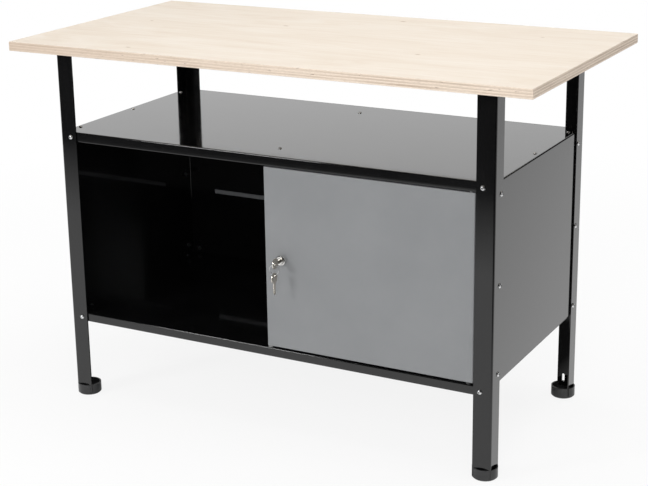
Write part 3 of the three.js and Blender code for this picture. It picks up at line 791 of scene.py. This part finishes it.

# What mirrors show of the studio: a pale floor, a pale backdrop at the back left, and a dark room.
# The floor fades over these spans in metres, and the backdrop over spans of a unit direction. Under the
# bench the floor is painted dark in mirrors, as its shadow.
MIRRORED_FLOOR = 0.95
MIRRORED_DARK = 0.05
# Painted shade: the floor glows much dimmer in a reflection of a reflection, which darkens the inside of
# the bay
TWICE_MIRRORED_SHADE = 0.15
# Painted shadow: mirrors see the floor dark under the bench, inside this half size in metres, fading out
# over the edge
UNDER_BENCH_SHADOW_HALF = (0.42, 0.2)
UNDER_BENCH_SHADOW_EDGE = 0.1
FLOOR_FRONT = (-2.25, -1.45)
FLOOR_RIGHT = (0.75, 1.15)
FLOOR_RIGHT_START = (-0.6, -0.4)
FLOOR_FAR_RIGHT = (0.55, 1.7)
FAR_RIGHT_SHARE = 0.8
BACKDROP_TOP = (0.28, 0.38)
BACKDROP_RIGHT = (-0.15, 0.15)
BACKDROP_DEPTH = (0.1, 0.4)


def glow_by_ray(tree, direct, mirrored, others):
    """One level for rays from the camera and through glass, one for mirrored rays, one for the rest."""
    path = node(tree, "ShaderNodeLightPath").outputs
    straight = math_node(tree, "MAXIMUM", path["Is Camera Ray"], path["Is Transmission Ray"])
    level = remap(tree, path["Is Glossy Ray"], (0.0, 1.0), (others, mirrored))
    return remap(tree, straight, (0.0, 1.0), (level, direct))


def fading(tree, value, span):
    """1 below a span and dark above it."""
    return remap(tree, value, span, (1.0, MIRRORED_DARK))


def rising(tree, value, span):
    """Dark below a span and 1 above it."""
    return remap(tree, value, span, (MIRRORED_DARK, 1.0))


def product(tree, *values):
    """All values multiplied."""
    total = 1.0
    for value in values:
        total = math_node(tree, "MULTIPLY", value, total)
    return total


def mirrored_floor(tree):
    """Brightness of the floor in mirrors: dark in front and at the right front, painted dark as shadow
    under the bench, and painted dimmer in a reflection of a reflection.
    """
    parts = node(tree, "ShaderNodeSeparateXYZ", {0: object_point(tree)}).outputs
    front = rising(tree, parts["Y"], FLOOR_FRONT)
    beside = fading(tree, parts["X"], FLOOR_RIGHT)
    beside = math_node(tree, "MAXIMUM", beside, rising(tree, parts["Y"], FLOOR_RIGHT_START))
    distant = remap(tree, parts["X"], FLOOR_FAR_RIGHT, (1.0, FAR_RIGHT_SHARE))
    outside_painted_shadow = 0.0
    # Painted shadow under the bench, as mirrors see it
    for axis, half in zip("XY", UNDER_BENCH_SHADOW_HALF):
        across = math_node(tree, "ABSOLUTE", parts[axis])
        share = rising(tree, across, (half, half + UNDER_BENCH_SHADOW_EDGE))
        outside_painted_shadow = math_node(tree, "MAXIMUM", share, outside_painted_shadow)
    # Painted shade: dimmer in a reflection of a reflection
    depth = node(tree, "ShaderNodeLightPath").outputs["Glossy Depth"]
    twice_mirrored_shade = remap(tree, depth, (1.0, 2.0), (MIRRORED_FLOOR, TWICE_MIRRORED_SHADE))
    return product(tree, front, beside, distant, outside_painted_shadow, twice_mirrored_shade)


def make_floor_material():
    """Pale floor that keeps the shadow and turns white away from the bench; mirrors see a painted shadow
    on it under the bench.
    """
    material, tree, shader = new_material("pale_floor")
    point = object_point(tree)
    clouds = noise(tree, point, scale=1.3, detail=3.0)
    tree.links.new(two_tones(tree, clouds, FLOOR_DARK, FLOOR_LIGHT), shader.inputs["Base Color"])
    shader.inputs["Roughness"].default_value = FLOOR_ROUGHNESS
    shader.inputs["Specular IOR Level"].default_value = 0.0
    reach = node(tree, "ShaderNodeVectorMath", {0: point}, operation="LENGTH").outputs["Value"]
    white = remap(tree, reach, GLOW_REACH, (NEAR_GLOW, 1.0))
    strength = glow_by_ray(tree, 1.0, mirrored_floor(tree), 0.0)
    glow = node(tree, "ShaderNodeEmission", {"Color": WHITE, "Strength": strength})
    share = glow_by_ray(tree, white, 1.0, 0.0)
    both = node(tree, "ShaderNodeMixShader", {0: share, 1: shader.outputs[0], 2: glow.outputs[0]})
    tree.links.new(both.outputs[0], tree.nodes["Material Output"].inputs["Surface"])
    return material


def make_floor():
    """A wide flat floor at height 0."""
    made = bmesh.new()
    bmesh.ops.create_grid(made, x_segments=1, y_segments=1, size=FLOOR_HALF)
    floor = object_of(made, "floor")
    floor.data.materials.append(make_floor_material())


def make_world():
    """White for the camera, a plain grey light, and in mirrors a pale backdrop in a dark room."""
    world = bpy.data.worlds.new("studio")
    bpy.context.scene.world = world
    world.use_nodes = True
    tree = world.node_tree
    backdrop = tree.nodes["Background"]
    backdrop.inputs["Color"].default_value = WHITE
    direction = node(tree, "ShaderNodeTexCoord").outputs["Generated"]
    parts = node(tree, "ShaderNodeSeparateXYZ", {0: direction}).outputs
    mirrored = product(
        tree,
        fading(tree, parts["Z"], BACKDROP_TOP),
        fading(tree, parts["X"], BACKDROP_RIGHT),
        rising(tree, parts["Y"], BACKDROP_DEPTH),
    )
    tree.links.new(glow_by_ray(tree, 1.0, mirrored, AMBIENT), backdrop.inputs["Strength"])


make_floor()
make_world()

# Lamps
BENCH_MIDDLE = Vector((0.0, 0.0, 0.5))


def add_lamp(name, spot, size, power, mirrored):
    """Square soft lamp aimed at the bench; the camera doesn't see it, and mirrors only where asked."""
    data = bpy.data.lights.new(name, "AREA")
    data.shape = "SQUARE"
    data.size = size
    data.energy = power
    lamp = add_object(name, data)
    lamp.location = spot
    lamp.rotation_euler = (BENCH_MIDDLE - Vector(spot)).to_track_quat("-Z", "Y").to_euler()
    lamp.visible_camera = False
    lamp.visible_glossy = mirrored


add_lamp("left_lamp", (-2.1, -3.4, 1.9), size=0.8, power=48.0, mirrored=True)
add_lamp("right_lamp", (3.6, 0.2, 1.7), size=0.6, power=8.0, mirrored=True)
add_lamp("front_lamp", (1.8, -3.8, 2.6), size=2.4, power=70.0, mirrored=False)
add_lamp("top_lamp", (0.3, 0.2, 3.6), size=2.6, power=58.0, mirrored=False)


def add_camera():
    """The camera at the picture's viewing angle."""
    azimuth = math.radians(CAMERA_AZIMUTH)
    elevation = math.radians(CAMERA_ELEVATION)
    back = Vector(
        (
            math.sin(azimuth) * math.cos(elevation),
            -math.cos(azimuth) * math.cos(elevation),
            math.sin(elevation),
        )
    )
    right = Vector((0, 0, 1)).cross(back).normalized()
    up = back.cross(right)
    turn = Matrix((right, up, back)).transposed().to_4x4()
    roll = Matrix.Rotation(math.radians(CAMERA_ROLL), 4, "Z")
    data = bpy.data.cameras.new("camera")
    data.sensor_width = SENSOR_WIDTH
    data.lens = SENSOR_WIDTH * FOCAL_PIXELS / PICTURE_WIDTH
    data.shift_x = (PICTURE_WIDTH / 2 - CENTRE_PIXEL[0]) / PICTURE_WIDTH
    data.shift_y = (CENTRE_PIXEL[1] - PICTURE_HEIGHT / 2) / PICTURE_WIDTH
    data.clip_end = CAMERA_REACH
    camera = add_object("camera", data)
    camera.matrix_world = Matrix.Translation(CAMERA_TARGET + back * CAMERA_DISTANCE) @ turn @ roll
    bpy.context.scene.camera = camera


add_camera()
bpy.context.scene.view_settings.view_transform = "Standard"
